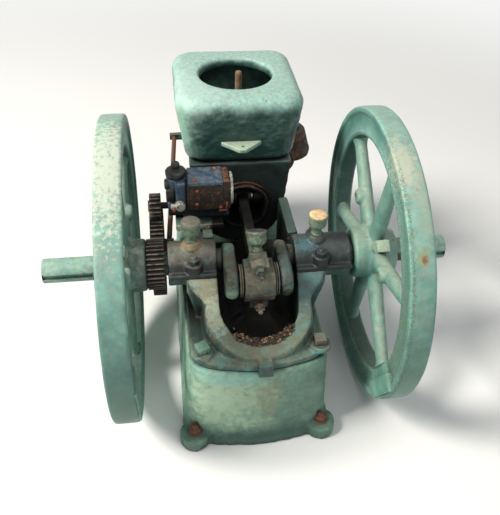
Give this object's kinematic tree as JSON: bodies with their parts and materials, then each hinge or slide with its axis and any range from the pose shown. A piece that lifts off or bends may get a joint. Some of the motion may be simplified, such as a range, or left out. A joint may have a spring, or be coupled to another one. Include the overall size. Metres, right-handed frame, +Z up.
{
  "type": "stationary gas engine",
  "caption": "Open-crank horizontal stationary gas engine with a water hopper, spoked flywheels, geared magneto and a cast sub-base.",
  "frame": {"origin": "centre of the bounding box at floor level, under the sub-base", "axes": "+X along the crankshaft towards the bare right-hand shaft end, +Y from the open crankcase towards the cylinder head, +Z up"},
  "size_m": [0.692, 0.7384, 0.524],
  "materials": {
    "painted_casting": "weathered teal green paint over cast iron",
    "worn_iron": "oily worn iron",
    "rusty_iron": "rusty iron",
    "steel": "turned steel",
    "magneto_aluminium": "dull cast aluminium",
    "black_moulding": "matte black moulding",
    "brass": "dull brass"
  },
  "bodies": {
    "engine": {"sub_base": "painted_casting", "crankcase_frame": "painted_casting", "main_bearing_cap_left": "worn_iron", "main_bearing_cap_right": "worn_iron", "grease_cup_left": "painted_casting", "grease_cup_right": "painted_casting", "rod_grease_cup": "painted_casting", "crank_throw": "worn_iron", "connecting_rod": "worn_iron", "rod_cap": "worn_iron", "wrist_pin": "steel", "piston": "rusty_iron", "cylinder_block": "painted_casting", "hopper": "painted_casting", "hopper_stud": "rusty_iron", "cylinder_head": "painted_casting", "exhaust_elbow": "rusty_iron", "exhaust_pot": "rusty_iron", "mixer": "brass", "fuel_pipe": "brass", "spark_plug": "steel", "rocker_bracket": "painted_casting", "rocker_arm": "worn_iron", "exhaust_valve": "steel", "valve_spring": "rusty_iron", "push_rod": "rusty_iron", "push_rod_guide": "worn_iron", "cam_gear_stud": "worn_iron", "magneto_bracket": "painted_casting", "magneto_body": "magneto_aluminium", "magneto_pole_block": "rusty_iron", "magneto_cover": "magneto_aluminium", "magneto_end_plate": "magneto_aluminium", "magneto_cap": "black_moulding", "magneto_terminal": "black_moulding"},
    "flywheels": {"flywheel_left": "painted_casting", "flywheel_right": "painted_casting", "crankshaft_left": "painted_casting", "crankshaft_right": "painted_casting", "crank_gear": "worn_iron", "hub_key_left": "worn_iron", "hub_key_right": "worn_iron", "hub_screw_left": "rusty_iron", "hub_screw_right": "rusty_iron"},
    "cam_gear_body": {"cam_gear": "worn_iron"},
    "magneto_rotor": {"magneto_pinion": "worn_iron"}
  },
  "joints": [
    {"name": "crank_turn", "type": "hinge", "parent": "engine", "child": "flywheels", "pos_m": [0, -0.11515, 0.27], "axis": [1, 0, 0], "continuous": true},
    {"name": "cam_turn", "type": "hinge", "parent": "engine", "child": "cam_gear_body", "pos_m": [0, -0.0073, 0.21314], "axis": [1, 0, 0], "continuous": true},
    {"name": "magneto_turn", "type": "hinge", "parent": "engine", "child": "magneto_rotor", "pos_m": [0, -0.0073, 0.31474], "axis": [1, 0, 0], "continuous": true}
  ],
  "couplings": [
    {"joint": "cam_turn", "follows": "crank_turn", "ratio": -0.5},
    {"joint": "magneto_turn", "follows": "crank_turn", "ratio": 2}
  ]
}
